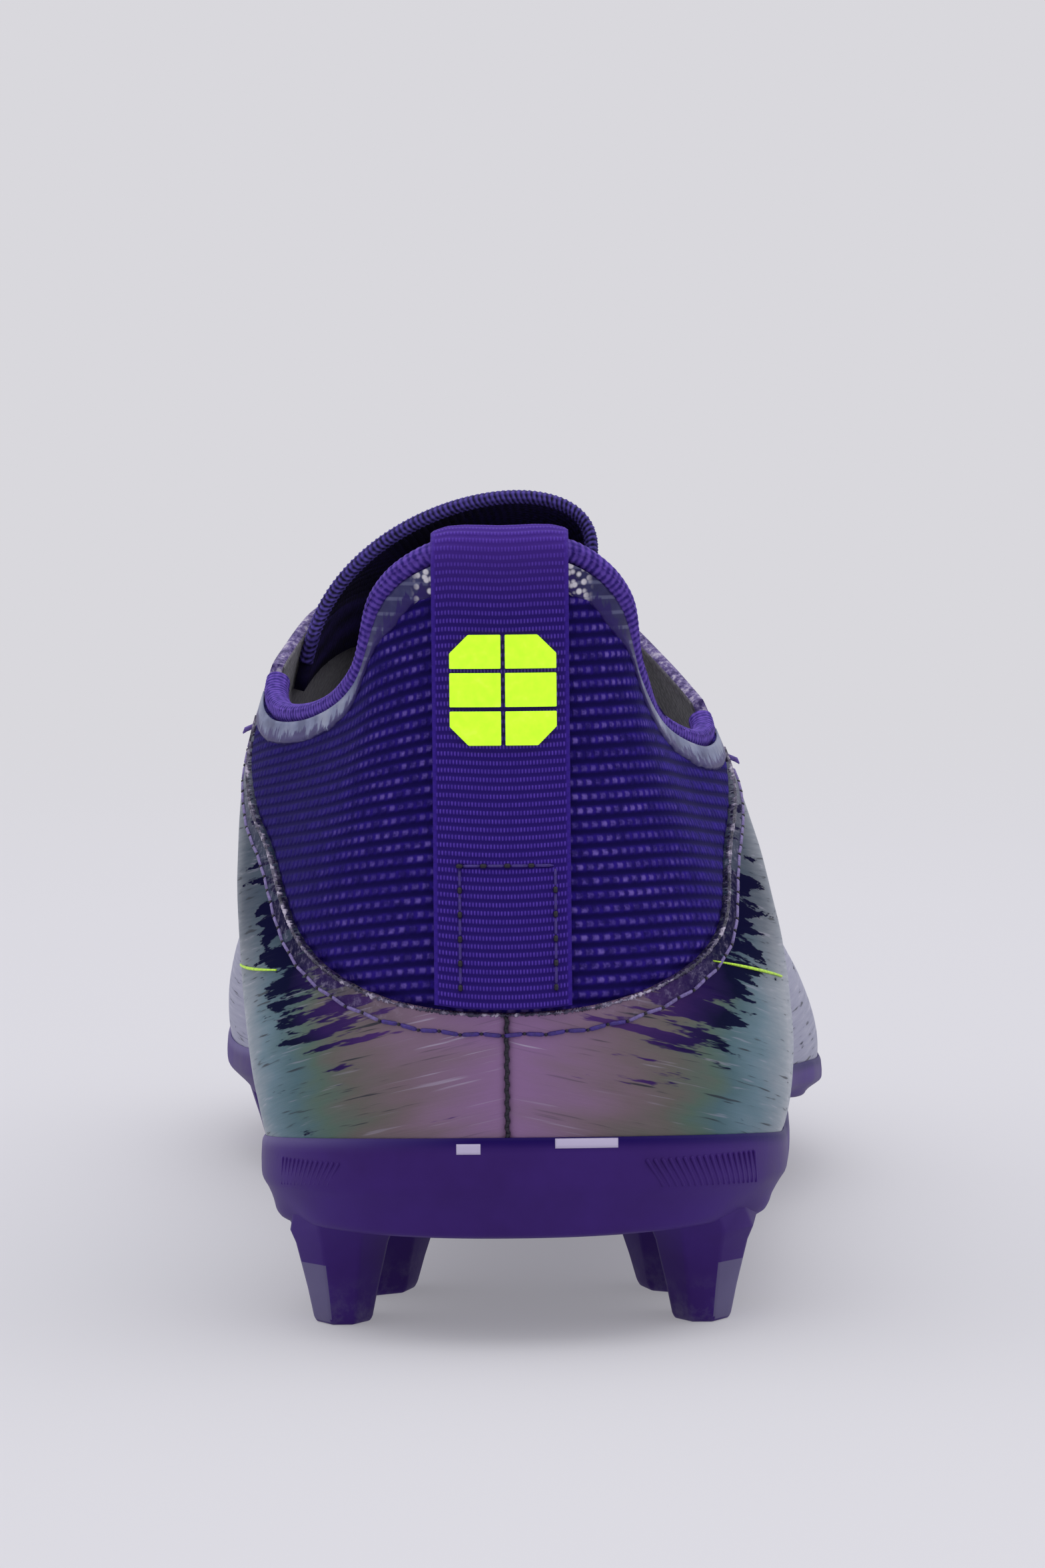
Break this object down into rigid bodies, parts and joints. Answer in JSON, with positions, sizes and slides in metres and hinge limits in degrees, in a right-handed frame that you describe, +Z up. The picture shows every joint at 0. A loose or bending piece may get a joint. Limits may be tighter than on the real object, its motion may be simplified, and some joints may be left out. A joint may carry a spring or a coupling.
{
  "type": "soccer cleat",
  "caption": "Low-cut laceless soccer cleat for the right foot: thin film upper, knit heel panel with a webbing pull strap, ribbed knit tongue and a moulded studded outsole.",
  "frame": {"origin": "centre of the bounding box in plan, on the floor that the studs stand on", "axes": "+Z up, +Y from heel to toe, +X to the outer (lateral) side of the right shoe"},
  "size_m": [0.092, 0.2786, 0.1073],
  "materials": {
    "moulded_plate": "moulded polyamide, satin gloss",
    "footbed_fabric": "textile-covered foam footbed",
    "film_upper": "thin polyurethane film over a textile backing, colour-shifting gloss",
    "heel_knit": "ribbed polyester knit",
    "collar_knit": "rolled knit binding",
    "webbing": "woven polyester webbing",
    "rib_knit": "elastic ribbed knit"
  },
  "bodies": {
    "root": {"outsole": "moulded_plate", "insole": "footbed_fabric", "upper": "film_upper", "heel_panel": "heel_knit", "collar_roll": "collar_knit", "heel_strap": "webbing", "tongue": "rib_knit"}
  },
  "joints": []
}
